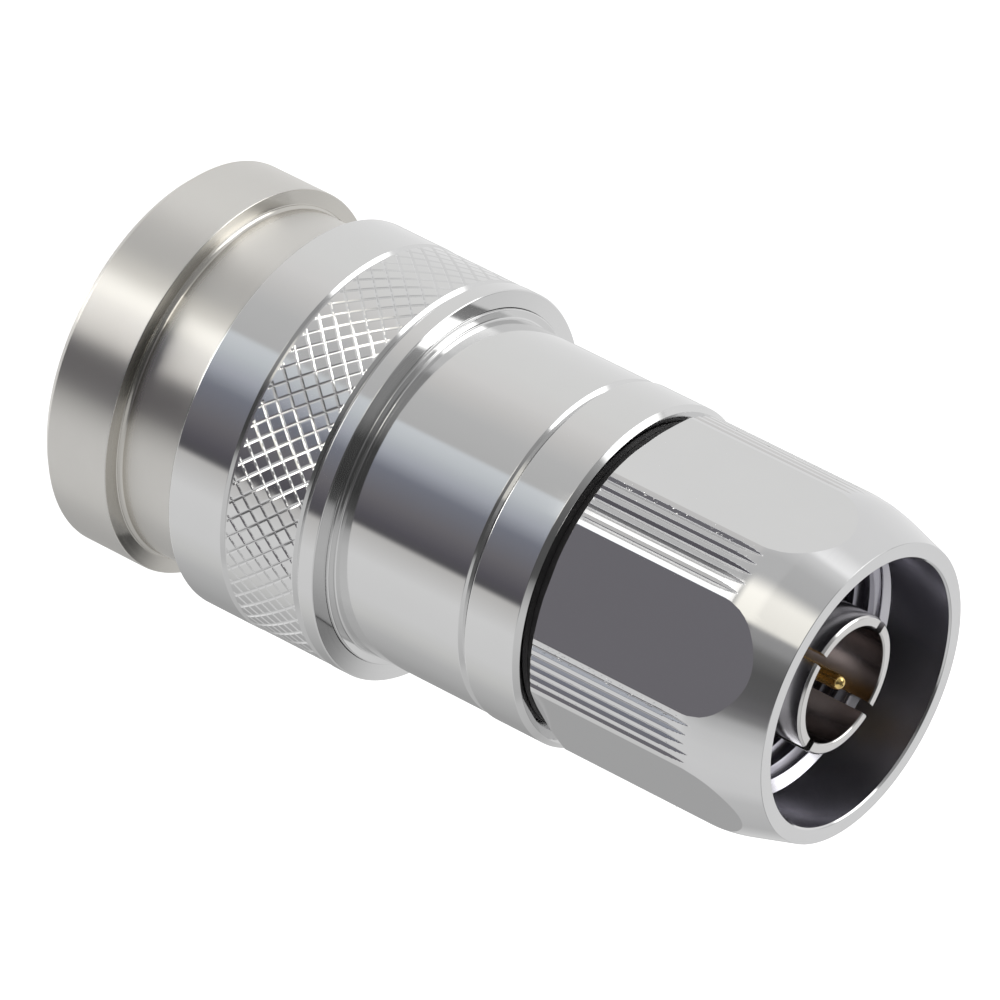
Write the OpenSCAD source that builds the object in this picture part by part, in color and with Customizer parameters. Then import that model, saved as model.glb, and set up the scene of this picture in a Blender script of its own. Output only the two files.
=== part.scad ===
// N type cable plug: coupling nut, slotted outer contact and centre pin at the
// top, knurled clamp sleeve and rear clamp nut at the bottom.
// Origin: centre of the rear face. +Z runs along the axis to the mating end.
// Units: mm.

/* [Coupling nut] */
// Distance across the wrench flats
nut_flats = 19.2; // [18.8:0.1:19.6]
// Diameter over the grooved corners
nut_d = 20.4; // [20.2:0.1:20.8]
// Grooves on each corner
grooves = 5; // [3:1:5]
// Angle from one groove to the next, degrees
groove_step = 3.65; // [3:0.05:4]
// Depth of a groove
groove_depth = 0.16; // [0.1:0.01:0.2]
// Major diameter of the coupling thread
thread_d = 15.88; // [15.7:0.02:16.0]
// Diameter of the smooth counterbore ahead of the thread
counterbore_d = 16.24; // [16.1:0.02:16.6]
// Diameter of the front rim's outer edge
rim_d = 18.2; // [17.8:0.1:18.6]

/* [Outer contact] */
// Outside diameter of the slotted sleeve
outer_contact_d = 8.4; // [8.2:0.02:8.46]
// Wall of the slotted sleeve
outer_contact_wall = 0.67; // [0.5:0.01:0.8]
// Width of its four slots
slot_w = 0.66; // [0.4:0.02:0.9]
// Depth of its four slots
slot_len = 7; // [4:0.5:8.5]

/* [Centre contact] */
// Diameter of the pin's tip
pin_d = 0.91; // [0.86:0.01:1.6]
// Diameter of the cable's inner conductor
conductor_d = 4.8; // [4.4:0.1:5]

/* [Body] */
// Diameter of the plain body
body_d = 20.72; // [20.5:0.02:21]
// Radius of the fillet at the body's foot
foot_r = 0.12; // [0.06:0.02:0.3]
// Diameter of the front collar
collar_d = 20.9; // [20.7:0.05:21.2]

/* [Knurled sleeve] */
// Diameter over the knurl and the plain grip band
grip_d = 24; // [23.6:0.1:25]

/* [Rear clamp nut] */
// Diameter of the rear ring
ring_d = 23.8; // [23:0.1:25]
// Length of the rear ring
ring_len = 4.76; // [3.8:0.1:5.4]
// Diameter of the neck ahead of the ring
neck_d = 21.56; // [21.2:0.02:22]
// Diameter of the cable entry
cable_d = 16.2; // [15.6:0.1:16.6]

/* [View] */
// Which piece to draw

/* [Hidden] */
$fn = 96;
eps = 0.01;
// stations along the axis
z_rear = 0;
z_sleeve0 = 9.36;    // rear face of the knurled sleeve
z_knurl0 = 13.52;
z_knurl1 = 18.52;
z_flange = 20.0;     // front edge of the flange
z_step = 20.06;      // seam between sleeve and body
z_foot = 20.25;      // front of the body's shoulder
z_body1 = 29.36;     // front of the plain body
z_collar1 = 33.3;    // front of the front collar
z_nut0 = 33.8;        // rear end of the coupling nut
z_front = 49.4;      // front rim
z_contact = 48.26;   // front of the outer contact
z_pin = 48.16;       // tip of the pin
z_groove_end = 45.2; // front end of the grooves
// radii shared by pieces that meet
r_cable = cable_d / 2;
r_ring = ring_d / 2;
r_neck = neck_d / 2;
r_grip = grip_d / 2;
r_body = body_d / 2;
r_collar = collar_d / 2;
r_nut = nut_d / 2;
r_clamp_thread = 10;     // rear nut's thread
r_chamber = 9;           // room inside the rear nut
r_spigot = 10.9;         // body's threaded end in the sleeve
r_seat = 8.95;           // pocket for the flare seat
r_tail = 8.6;            // front body's threaded tail
r_journal = 8.22;        // front body's bearing for the nut
r_hub = 5.6;             // outer contact's hub
r_oc = outer_contact_d / 2;
r_oci = r_oc - outer_contact_wall;
r_pin = pin_d / 2;
r_cond = conductor_d / 2;
r_socket = 3.2;          // centre contact's rear barrel
nose_r = 8;              // radius of the nut's rounded nose
z_nose0 = 44.46;         // where the nose starts to round
z_nose1 = 46.7;          // where it turns into the straight taper
nose_in = nose_r - sqrt(nose_r * nose_r - (z_nose1 - z_nose0) * (z_nose1 - z_nose0));
slot_turn = 80.5;        // turn of the slots
flat_turn = -77.8;       // turn of the first flat

// a ring between two radii and two heights
module tube(r0, r1, z0, z1) {
  rotate_extrude() translate([r0, z0]) square([r1 - r0, z1 - z0]);
}

// a round wire bent to a full circle
module wire_ring(big, small, z) {
  rotate_extrude() translate([big, z]) circle(r = small, $fn = 48);
}

// rear ring, neck and thread in one turned piece
module back_nut() {
  color([0.80, 0.78, 0.74])
  rotate_extrude() difference() {
    polygon([[r_cable + 0.45, z_rear], [r_ring - 0.5, z_rear], [r_ring, 0.5],
      [r_ring, ring_len - 0.05], [r_ring - 0.05, ring_len],
      [r_neck + 0.2, ring_len + 0.08], [r_neck, ring_len + 0.28],
      [r_neck, z_sleeve0], [r_clamp_thread, z_sleeve0],
      [r_clamp_thread, 17.2], [r_clamp_thread - 0.3, 17.5],
      [r_chamber + 0.25, 17.5], [r_chamber, 17.25], [r_chamber, 1.6],
      [r_cable, 1.6], [r_cable, 0.45]]);
    // undercut behind the thread
    translate([r_clamp_thread - 0.2, z_sleeve0 + 0.05]) square([1, 0.6]);
  }
}

// rubber seal on the cable's jacket, two lips inside
module cable_gasket() {
  color([0.12, 0.12, 0.13])
  rotate_extrude() difference() {
    translate([7.75, 1.6]) square([r_chamber - 7.75, 5]);
    for (z = [2.5, 4.1, 5.7]) translate([7.55, z]) circle(r = 0.5, $fn = 32);
  }
}

module thrust_washer() {
  color([0.83, 0.69, 0.36]) tube(8.15, 8.8, 6.75, 7.55);
}

// spring fingers that grip the cable's outer conductor
module clamp_collet() {
  color([0.85, 0.66, 0.33])
  difference() {
    rotate_extrude() difference() {
      polygon([[8.05, 7.65], [8.72, 7.65], [8.72, 16.2], [8.3, 16.9],
        [6.95, 16.9], [6.7, 16.6], [6.7, 15.9], [7.1, 15.4], [7.1, 10.9],
        [8.05, 10.0]]);
      translate([8.75, 13.6]) circle(r = 0.5, $fn = 48);
    }
    for (i = [0:7]) rotate([0, 0, 45 * i + 22.5])
      translate([6, -0.4, 10.4]) cube([4, 0.8, 8]);
  }
}

// split wire ring that closes the fingers
module collet_spring() {
  color([0.62, 0.63, 0.65])
  difference() {
    wire_ring(8.42, 0.16, 13.6);
    translate([7.5, -0.5, 13]) cube([2, 1, 1.2]);
  }
}

module sleeve_seal() {
  color([0.08, 0.08, 0.09]) wire_ring(10.5, 0.44, 10.8);
}

// plain band, knurl and flange in one turned piece
module knurled_sleeve() {
  color([0.82, 0.82, 0.83])
  rotate_extrude() difference() {
    polygon([[r_clamp_thread + 0.08, z_sleeve0 + 0.1], [r_clamp_thread + 0.18, z_sleeve0],
      [r_grip - 0.2, z_sleeve0], [r_grip, z_sleeve0 + 0.2],
      [r_grip, z_knurl0 - 0.14], [r_grip - 0.14, z_knurl0], [r_grip - 0.02, z_knurl0 + 0.12],
      [r_grip - 0.02, z_knurl1], [r_grip - 0.26, z_knurl1 + 0.22], [r_grip, z_knurl1 + 0.42],
      [r_grip, z_flange - 0.06], [r_grip - 0.06, z_flange], [r_spigot + 0.06, z_step],
      [r_spigot + 0.02, z_step - 0.04], [r_spigot + 0.02, 17.85], [r_clamp_thread + 0.08, 17.85],
      [r_clamp_thread + 0.08, 11.35], [10.96, 11.35], [10.96, 10.25],
      [r_clamp_thread + 0.08, 10.25]]);
  }
}

// brass ring that the cable's flared outer conductor is pressed on
module flare_seat() {
  color([0.82, 0.68, 0.36])
  rotate_extrude() polygon([[8.6, 17.95], [r_seat, 17.95], [r_seat, 20.6],
    [5.9, 20.6], [5.9, 19.6], [6.4, 19.3]]);
}

// plain polished body with its stepped shoulder and threaded end
module main_body() {
  color([0.82, 0.82, 0.83])
  rotate_extrude() difference() {
    polygon([[r_seat, 17.95], [r_spigot - 0.2, 17.95], [r_spigot, 18.15],
      [r_spigot, z_foot - 0.05], [r_spigot - 0.05, z_foot],
      [r_body + foot_r, z_foot], [r_body, z_foot + foot_r],
      [r_body, z_body1 - 0.26], [r_body - 0.3, z_body1],
      [r_tail, z_body1], [r_tail, 24.6], [7.2, 24.6], [7.2, 20.6], [r_seat, 20.6]]);
    // fillet at the foot of the shoulder
    translate([r_body + foot_r, z_foot + foot_r]) circle(r = foot_r, $fn = 64);
  }
}

module body_seal() {
  color([0.08, 0.08, 0.09]) wire_ring(8.2, 0.38, 27.05);
}

// front collar, threaded tail, nut bearing and contact pocket
module front_body() {
  color([0.82, 0.82, 0.83])
  rotate_extrude() polygon([[7, 24.8], [r_tail - 0.2, 24.8], [r_tail, 25],
    [r_tail, 26.6], [7.82, 26.6], [7.82, 27.5], [r_tail, 27.5], [r_tail, z_body1],
    [r_collar - 0.42, z_body1], [r_collar, z_body1 + 0.3],
    [r_collar, z_collar1 - 0.3], [r_collar - 0.32, z_collar1],
    [r_journal, z_collar1], [r_journal, 35.3], [7.55, 35.3], [7.55, 36.3],
    [r_journal, 36.3], [r_journal, 37.4], [r_journal - 0.2, 37.6],
    [r_hub, 37.6], [r_hub, 31], [4.6, 31], [4.6, 28.7], [7, 28.7]]);
}

// rear support bead
module rear_insulator() {
  color([0.93, 0.92, 0.88]) tube(2.9, 7, 25.2, 28.6);
}

// split ring that closes the socket's fingers
module contact_spring() {
  color([0.62, 0.63, 0.65])
  difference() {
    wire_ring(3.13, 0.2, 20.2);
    translate([2.6, -0.3, 19.8]) cube([1, 0.6, 0.8]);
  }
}

// pin, shoulder and rear socket in one turned piece
module centre_contact() {
  color([0.86, 0.68, 0.28])
  difference() {
    rotate_extrude() difference() {
      union() {
        polygon([[0, 24.8], [r_cond, 24.8], [r_cond, 18.8], [r_cond + 0.25, 18.5],
          [r_socket - 0.2, 18.5], [r_socket, 18.7], [r_socket, 25], [2.9, 25],
          [2.9, 30.4], [1.25, 30.4], [1.25, 42.6], [r_pin, 43.3],
          [r_pin, z_pin - r_pin], [0, z_pin - r_pin]]);
        intersection() {
          translate([0, z_pin - r_pin]) circle(r = r_pin, $fn = 48);
          translate([0, z_pin - r_pin]) square([2, 2]);
        }
      }
      translate([3.22, 20.2]) circle(r = 0.32, $fn = 48);
    }
    for (a = [0, 90]) rotate([0, 0, a + 45])
      translate([-4, -0.3, 18]) cube([8, 0.6, 6]);
  }
}

// bead that centres the pin inside the outer contact
module front_insulator() {
  color([0.93, 0.92, 0.88]) tube(1.25, r_oci, 31.2, 36.4);
}

// slotted sleeve on its pressed-in hub
module outer_contact() {
  color([0.83, 0.83, 0.84])
  difference() {
    rotate_extrude() polygon([[r_oci, 31], [r_hub, 31], [r_hub, 37.6],
      [r_oc + 0.4, 37.6], [r_oc + 0.4, 38.5], [r_oc + 0.3, 38.6], [r_oc, 38.6],
      [r_oc, z_contact - 0.12], [r_oc - 0.12, z_contact], [r_oci + 0.08, z_contact],
      [r_oci, z_contact - 0.08]]);
    for (i = [0:3]) rotate([0, 0, slot_turn + 90 * i])
      translate([r_oci - 1, -slot_w / 2, z_contact - slot_len]) cube([3, slot_w, slot_len + 1]);
  }
}

// flat seal that the mating half closes on
module interface_gasket() {
  color([0.16, 0.16, 0.17]) tube(r_oc + 0.45, 7.1, 37.6, 38.5);
}

// split ring that holds the coupling nut on its bearing
module snap_ring() {
  color([0.62, 0.63, 0.65])
  difference() {
    tube(7.62, 8.62, 35.45, 36.15);
    translate([7, -0.9, 35]) cube([3, 1.8, 2]);
  }
}

// black ring in the gap behind the coupling nut
module coupling_seal() {
  color([0.05, 0.05, 0.06]) tube(8.22, 9.4, z_collar1, z_nut0 - 0.06);
}

module groove(turn) {
  rotate([0, 0, turn]) translate([0, 0, z_nut0 - 1])
    linear_extrude(z_groove_end - z_nut0 + 1)
      polygon([[r_nut - groove_depth, 0], [r_nut + 0.2, -(groove_depth + 0.2) * 1.28],
        [r_nut + 0.2, (groove_depth + 0.2) * 1.28]]);
}

module coupling_nut() {
  color([0.82, 0.82, 0.83])
  difference() {
    rotate_extrude() difference() {
      polygon([[8.3, z_nut0], [r_nut - 0.54, z_nut0], [r_nut, z_nut0 + 0.3],
        [r_nut, z_nose1], [r_nut - nose_in, z_nose1], [rim_d / 2, z_front],
        [counterbore_d / 2 + 0.06, z_front], [counterbore_d / 2, z_front - 0.06],
        [counterbore_d / 2, 45.26], [thread_d / 2, 45.08], [thread_d / 2, 39],
        [8.3, 38.8]]);
      // rounded nose
      difference() {
        translate([r_nut - 1, z_nose0]) square([2, z_nose1 - z_nose0]);
        translate([r_nut - nose_r, z_nose0]) circle(r = nose_r, $fn = 128);
      }
      // groove for the snap ring
      translate([8, 35.3]) square([0.8, 1]);
    }
    for (i = [0:5]) rotate([0, 0, flat_turn + 60 * i])
      translate([nut_flats / 2, -8, z_nut0 - 1]) cube([4, 16, 20]);
    for (i = [0:5]) rotate([0, 0, flat_turn + 30 + 60 * i])
      for (k = [0:grooves - 1]) groove((k - (grooves - 1) / 2) * groove_step);
  }
}

back_nut();
cable_gasket();
thrust_washer();
clamp_collet();
collet_spring();
sleeve_seal();
knurled_sleeve();
flare_seat();
main_body();
body_seal();
front_body();
rear_insulator();
contact_spring();
centre_contact();
front_insulator();
outer_contact();
interface_gasket();
snap_ring();
coupling_seal();
coupling_nut();
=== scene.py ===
import math

import bpy
import numpy as np
from mathutils import Matrix, Vector


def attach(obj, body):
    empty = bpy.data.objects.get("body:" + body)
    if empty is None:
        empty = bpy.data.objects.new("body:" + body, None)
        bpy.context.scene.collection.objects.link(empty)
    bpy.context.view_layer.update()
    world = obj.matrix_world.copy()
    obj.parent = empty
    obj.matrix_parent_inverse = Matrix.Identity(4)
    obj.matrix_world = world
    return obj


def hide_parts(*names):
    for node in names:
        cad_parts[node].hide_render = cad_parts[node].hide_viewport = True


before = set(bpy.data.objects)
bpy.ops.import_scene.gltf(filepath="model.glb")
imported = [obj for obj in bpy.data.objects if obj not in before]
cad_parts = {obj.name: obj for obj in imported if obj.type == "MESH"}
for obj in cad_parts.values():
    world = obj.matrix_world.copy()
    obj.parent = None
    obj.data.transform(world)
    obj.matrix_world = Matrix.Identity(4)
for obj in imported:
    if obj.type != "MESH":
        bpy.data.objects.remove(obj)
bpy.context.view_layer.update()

MM = 0.001
RAD = math.pi / 180


# ---------------------------------------------------------------- mesh tools

class Build:
    """Vertices in mm, faces, and one normal for each face corner."""

    def __init__(self):
        self.v, self.f, self.n = [], [], []
        self.base = 0

    def add(self, verts, faces, vert_normals=None, angle=32.0):
        verts = np.asarray(verts, float)
        if vert_normals is None:
            loops = corner_normals(verts, faces, angle)
        else:
            vn = np.asarray(vert_normals, float)
            loops = [vn[i] for f in faces for i in f]
        self.v.append(verts)
        self.f += [tuple(int(i) + self.base for i in f) for f in faces]
        self.n += [tuple(x) for x in loops]
        self.base += len(verts)

    def obj(self, name, mat):
        me = bpy.data.meshes.new(name)
        me.from_pydata((np.vstack(self.v) * MM).tolist(), [], self.f)
        me.polygons.foreach_set("use_smooth", [True] * len(me.polygons))
        me.update()
        me.normals_split_custom_set(self.n)
        me.materials.append(mat)
        o = bpy.data.objects.new(name, me)
        bpy.context.scene.collection.objects.link(o)
        return o


def corner_normals(verts, faces, angle):
    me = bpy.data.meshes.new("tmp")
    me.from_pydata(verts.tolist(), [], [tuple(int(i) for i in f) for f in faces])
    me.polygons.foreach_set("use_smooth", [True] * len(me.polygons))
    me.set_sharp_from_angle(angle=angle * RAD)
    me.update()
    out = np.zeros(len(me.loops) * 3, np.float32)
    me.corner_normals.foreach_get("vector", out)
    bpy.data.meshes.remove(me)
    return out.reshape(-1, 3)


def unit(v):
    v = np.asarray(v, float)
    return v / max(np.linalg.norm(v), 1e-12)


def outline(corners, closed=True, step=15.0):
    """Rounds the corners of a line of (r, z, radius) and returns points with normals.
    radius None is a point on a smooth curve. The solid is on the left of the line."""
    n = len(corners)
    P = [np.array(c[:2], float) for c in corners]
    out = []
    for i in range(n):
        f = corners[i][2]
        if not closed and i in (0, n - 1):
            a, b = (P[0], P[1]) if i == 0 else (P[n - 2], P[n - 1])
            t = unit(b - a)
            out.append((P[i], np.array([t[1], -t[0]])))
            continue
        p, a, b = P[i], P[i - 1], P[(i + 1) % n]
        u, w = unit(p - a), unit(b - p)
        nu, nw = np.array([u[1], -u[0]]), np.array([w[1], -w[0]])
        turn = math.acos(max(-1.0, min(1.0, float(u @ w))))
        if f is None:
            out.append((p, unit(nu + nw)))
            continue
        if turn < 1e-4:
            out.append((p, nu))
            continue
        la, lb = np.linalg.norm(p - a), np.linalg.norm(b - p)
        fa = corners[i - 1][2]
        fb = corners[(i + 1) % n][2]
        la *= 0.48 if fa else 0.9
        lb *= 0.48 if fb else 0.9
        t = min(f * math.tan(turn / 2), la, lb)
        r = t / math.tan(turn / 2)
        s = 1.0 if (u[0] * w[1] - u[1] * w[0]) > 0 else -1.0  # left turn: convex
        c = p - u * t - nu * r * s
        k = max(3, int(math.ceil(turn / RAD / step)))
        a0 = math.atan2(*(nu * s)[::-1])
        for j in range(k + 1):
            a1 = a0 + s * turn * j / k
            d = np.array([math.cos(a1), math.sin(a1)])
            out.append((c + d * r, d * s))
    return out


def arc(cr, cz, r, a0, a1, k):
    """Points on an arc in the (r, z) plane, as smooth corners."""
    return [(cr + r * math.cos((a0 + (a1 - a0) * i / k) * RAD), cz + r * math.sin((a0 + (a1 - a0) * i / k) * RAD), None) for i in range(k + 1)]


def lathe(b, pts, cols=320, closed=True, thetas=None):
    """Turns an outline into a surface round Z."""
    th = np.arange(cols) * 2 * math.pi / cols if thetas is None else np.asarray(thetas)
    N, M = len(th), len(pts)
    r = np.array([p[0][0] for p in pts])
    z = np.array([p[0][1] for p in pts])
    nr = np.array([p[1][0] for p in pts])
    nz = np.array([p[1][1] for p in pts])
    c, s = np.cos(th)[:, None], np.sin(th)[:, None]
    V = np.stack([c * r, s * r, np.broadcast_to(z, (N, M))], -1).reshape(-1, 3)
    W = np.stack([c * nr, s * nr, np.broadcast_to(nz, (N, M))], -1).reshape(-1, 3)
    faces = []
    last = M if closed else M - 1
    for i in range(last):
        k = (i + 1) % M
        if math.hypot(r[i] - r[k], z[i] - z[k]) < 1e-7:
            continue
        for j in range(N):
            l = (j + 1) % N
            q = (j * M + i, l * M + i, l * M + k, j * M + k)
            if r[i] < 1e-6:
                q = (j * M + i, l * M + k, j * M + k)
            elif r[k] < 1e-6:
                q = (j * M + i, l * M + i, j * M + k)
            faces.append(q)
    b.add(V, faces, W)


def screw(b, r_of, z0, z1, pitch, per=12, cols=240, angle=25, inward=False, phase=0.0):
    """A helical surface: r_of(phase 0..1, z) between two heights, rows along the helix."""
    rows = int(round((z1 - z0) / pitch * per)) + per + 1
    grid, V = {}, []
    idx = np.zeros((cols + 1, rows), int)
    for j in range(cols + 1):
        a = 2 * math.pi * j / cols
        for i in range(rows):
            z = z0 - pitch + pitch * i / per + pitch * j / cols
            zc = min(max(z, z0), z1)
            ph = ((i / per) + phase) % 1.0 if abs(z - zc) < 1e-9 else ((zc - z0) / pitch - j / cols + phase) % 1.0
            r = r_of(ph, zc)
            p = (r * math.cos(a), r * math.sin(a), zc)
            key = (round(p[0], 5), round(p[1], 5), round(p[2], 5))
            if key not in grid:
                grid[key] = len(V)
                V.append(p)
            idx[j, i] = grid[key]
    faces = []
    for j in range(cols):
        for i in range(rows - 1):
            q = [idx[j, i], idx[j + 1, i], idx[j + 1, i + 1], idx[j, i + 1]]
            if inward:
                q = q[::-1]
            s = []
            for x in q:
                if x not in s:
                    s.append(x)
            if len(s) >= 3:
                faces.append(tuple(s))
    b.add(np.array(V), faces, None, angle)


def vee(ph, flat_a, flat_b):
    """0 on the first flat, 1 on the second, straight flanks between, over one turn."""
    side = (1 - flat_a - flat_b) / 2
    if ph < flat_a:
        return 0.0
    ph -= flat_a
    if ph < side:
        return ph / side
    ph -= side
    if ph < flat_b:
        return 1.0
    return 1 - (ph - flat_b) / side


def grain(seed):
    rng = np.random.default_rng(seed)
    return rng


# ---------------------------------------------------------------- materials

def nodes_of(mat):
    mat.use_nodes = True
    nt = mat.node_tree
    nt.nodes.clear()
    out = nt.nodes.new("ShaderNodeOutputMaterial")
    bs = nt.nodes.new("ShaderNodeBsdfPrincipled")
    nt.links.new(bs.outputs[0], out.inputs[0])
    return nt, bs


def math_node(nt, op, a, b=None, clamp=False):
    m = nt.nodes.new("ShaderNodeMath")
    m.operation = op
    m.use_clamp = clamp
    for k, x in enumerate((a, b)):
        if x is None:
            continue
        if isinstance(x, (int, float)):
            m.inputs[k].default_value = x
        else:
            nt.links.new(x, m.inputs[k])
    return m.outputs[0]


def noise(nt, vec, scale, detail=2.0, rough=0.5):
    t = nt.nodes.new("ShaderNodeTexNoise")
    t.inputs["Scale"].default_value = scale
    t.inputs["Detail"].default_value = detail
    t.inputs["Roughness"].default_value = rough
    nt.links.new(vec, t.inputs["Vector"])
    return t.outputs[0]


def remap(nt, x, a, b, c, d):
    m = nt.nodes.new("ShaderNodeMapRange")
    m.inputs[1].default_value = a
    m.inputs[2].default_value = b
    m.inputs[3].default_value = c
    m.inputs[4].default_value = d
    nt.links.new(x, m.inputs[0])
    return m.outputs[0]


def mix_rgb(nt, fac, a, b):
    m = nt.nodes.new("ShaderNodeMix")
    m.data_type = "RGBA"
    nt.links.new(fac, m.inputs[0])
    for k, x in ((6, a), (7, b)):
        if isinstance(x, tuple):
            m.inputs[k].default_value = (*x, 1)
        else:
            nt.links.new(x, m.inputs[k])
    return m.outputs[2]


def turned_coords(nt):
    """Object position, and a vector of (radius, 0, height) that is the same all round a turned surface."""
    tc = nt.nodes.new("ShaderNodeTexCoord")
    sp = nt.nodes.new("ShaderNodeSeparateXYZ")
    nt.links.new(tc.outputs["Object"], sp.inputs[0])
    x2 = math_node(nt, "MULTIPLY", sp.outputs[0], sp.outputs[0])
    y2 = math_node(nt, "MULTIPLY", sp.outputs[1], sp.outputs[1])
    r = math_node(nt, "SQRT", math_node(nt, "ADD", x2, y2))
    cb = nt.nodes.new("ShaderNodeCombineXYZ")
    nt.links.new(r, cb.inputs[0])
    nt.links.new(sp.outputs[2], cb.inputs[2])
    return tc.outputs["Object"], cb.outputs[0]


def zone(nt, obj, r_max, z_min, z_max, soft_top=0.02, soft=0.02):
    """1 inside a radius and between two heights (mm), 0 outside, with soft edges."""
    sp = nt.nodes.new("ShaderNodeSeparateXYZ")
    nt.links.new(obj, sp.inputs[0])
    x2 = math_node(nt, "MULTIPLY", sp.outputs[0], sp.outputs[0])
    y2 = math_node(nt, "MULTIPLY", sp.outputs[1], sp.outputs[1])
    r = math_node(nt, "SQRT", math_node(nt, "ADD", x2, y2))
    a = remap(nt, r, (r_max - soft) * MM, (r_max + soft) * MM, 1.0, 0.0)
    b = remap(nt, sp.outputs[2], (z_min - soft) * MM, (z_min + soft) * MM, 0.0, 1.0)
    c = remap(nt, sp.outputs[2], (z_max - soft_top) * MM, (z_max + soft_top) * MM, 1.0, 0.0)
    return math_node(nt, "MULTIPLY", math_node(nt, "MULTIPLY", a, b), c)


def bump(nt, height, strength, distance, normal=None):
    b = nt.nodes.new("ShaderNodeBump")
    b.inputs["Strength"].default_value = strength
    b.inputs["Distance"].default_value = distance
    nt.links.new(height, b.inputs["Height"])
    if normal is not None:
        nt.links.new(normal, b.inputs["Normal"])
    return b.outputs[0]


def metal(name, color, rough, rough_var=0.04, mark=0.15, mark_scale=9000, tint=None, smudge=0.02, pit=0.0, brushed=0.0, shade_zones=()):
    """Turned and plated metal: fine marks round the axis, faint smudges, uneven gloss, and painted shade in the given
    zones.
    """
    mat = bpy.data.materials.new(name)
    nt, bs = nodes_of(mat)
    obj, turned = turned_coords(nt)
    bs.inputs["Metallic"].default_value = 1.0
    marks = noise(nt, turned, mark_scale, 3.0, 0.6)
    wide = noise(nt, turned, mark_scale / 9, 2.0, 0.5)
    cloud = noise(nt, obj, 260, 3.0, 0.6)
    fine = noise(nt, obj, 2600, 2.0, 0.6)
    r = remap(nt, cloud, 0.3, 0.7, rough - rough_var * 0.5, rough + rough_var * 0.5)
    r = math_node(nt, "ADD", r, remap(nt, marks, 0.3, 0.7, -rough_var * 0.4, rough_var * 0.4), True)
    # painted shade in bores and recesses, a darker base colour where shade falls there, with a change of roughness:
    # (radius, low, high, soft edge, colour, change of roughness)
    shade_masks = []
    for q in shade_zones:
        m = zone(nt, obj, *q[:4])
        shade_masks.append((m, q[4]))
        r = math_node(nt, "ADD", r, math_node(nt, "MULTIPLY", m, q[5]), True)
    nt.links.new(r, bs.inputs["Roughness"])
    tint = tint or tuple(c * 0.93 for c in color)
    f = remap(nt, cloud, 0.35, 0.7, 0.0, 1.0)
    f = math_node(nt, "MULTIPLY", f, remap(nt, fine, 0.3, 0.7, 0.6, 1.0))
    f = math_node(nt, "MULTIPLY", f, smudge * 10, True)
    base = mix_rgb(nt, f, color, tint)
    # painted shade: the base colour is darkened inside each zone
    for m, c in shade_masks:
        base = mix_rgb(nt, m, base, c)
    nt.links.new(base, bs.inputs["Base Color"])
    h = math_node(nt, "ADD", marks, math_node(nt, "MULTIPLY", wide, 0.7))
    if pit:
        h = math_node(nt, "ADD", h, math_node(nt, "MULTIPLY", fine, pit))
    nt.links.new(bump(nt, h, mark, 0.000004), bs.inputs["Normal"])
    if brushed:
        tg = nt.nodes.new("ShaderNodeTangent")
        tg.direction_type = "RADIAL"
        tg.axis = "Z"
        nt.links.new(tg.outputs[0], bs.inputs["Tangent"])
        bs.inputs["Anisotropic"].default_value = brushed
        bs.inputs["Anisotropic Rotation"].default_value = 0.25
    return mat


def rubber(name, color):
    mat = bpy.data.materials.new(name)
    nt, bs = nodes_of(mat)
    obj, turned = turned_coords(nt)
    cloud = noise(nt, obj, 900, 4.0, 0.6)
    fine = noise(nt, obj, 9000, 2.0, 0.6)
    nt.links.new(mix_rgb(nt, remap(nt, cloud, 0.35, 0.7, 0, 1), color, tuple(c * 1.6 + 0.004 for c in color)), bs.inputs["Base Color"])
    nt.links.new(remap(nt, fine, 0.3, 0.7, 0.5, 0.68), bs.inputs["Roughness"])
    nt.links.new(bump(nt, math_node(nt, "ADD", fine, cloud), 0.25, 0.00001), bs.inputs["Normal"])
    return mat


def polymer(name, color):
    mat = bpy.data.materials.new(name)
    nt, bs = nodes_of(mat)
    obj, turned = turned_coords(nt)
    marks = noise(nt, turned, 6000, 2.0, 0.5)
    cloud = noise(nt, obj, 500, 3.0, 0.5)
    nt.links.new(mix_rgb(nt, remap(nt, cloud, 0.3, 0.7, 0, 1), color, tuple(c * 0.93 for c in color)), bs.inputs["Base Color"])
    nt.links.new(remap(nt, marks, 0.3, 0.7, 0.34, 0.5), bs.inputs["Roughness"])
    bs.inputs["Subsurface Weight"].default_value = 0.15
    bs.inputs["Subsurface Radius"].default_value = (0.0006, 0.0005, 0.0004)
    nt.links.new(bump(nt, marks, 0.25, 0.000008), bs.inputs["Normal"])
    return mat


# painted shade inside the coupling nut: a little darker in the counterbore, much darker in the threaded bore
BRIGHT = metal("bright_nickel", (0.80, 0.80, 0.805), 0.085, 0.03, 0.10, 
               shade_zones=[(8.15, 44.5, 49.26, 0.02, (0.74, 0.73, 0.78), 0.15), (8.03, 0.0, 44.5, 0.02, (0.46, 0.45, 0.50), 0.20)])
BODY = metal("bright_nickel_body", (0.80, 0.80, 0.80), 0.07, 0.02, 0.08)
KNURL = metal("bright_nickel_knurl", (0.80, 0.80, 0.80), 0.085, 0.02, 0.05, 5000)
# painted shade on the rear ring's front face and the root of its neck, where the ring meets the neck
SATIN = metal("satin_nickel", (0.79, 0.775, 0.745), 0.335, 0.03, 0.25, 7000, (0.74, 0.72, 0.68), brushed=0.94,
              shade_zones=[(12.5, 4.74, 5.45, 0.3, (0.66, 0.64, 0.60), -0.20)])
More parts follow.
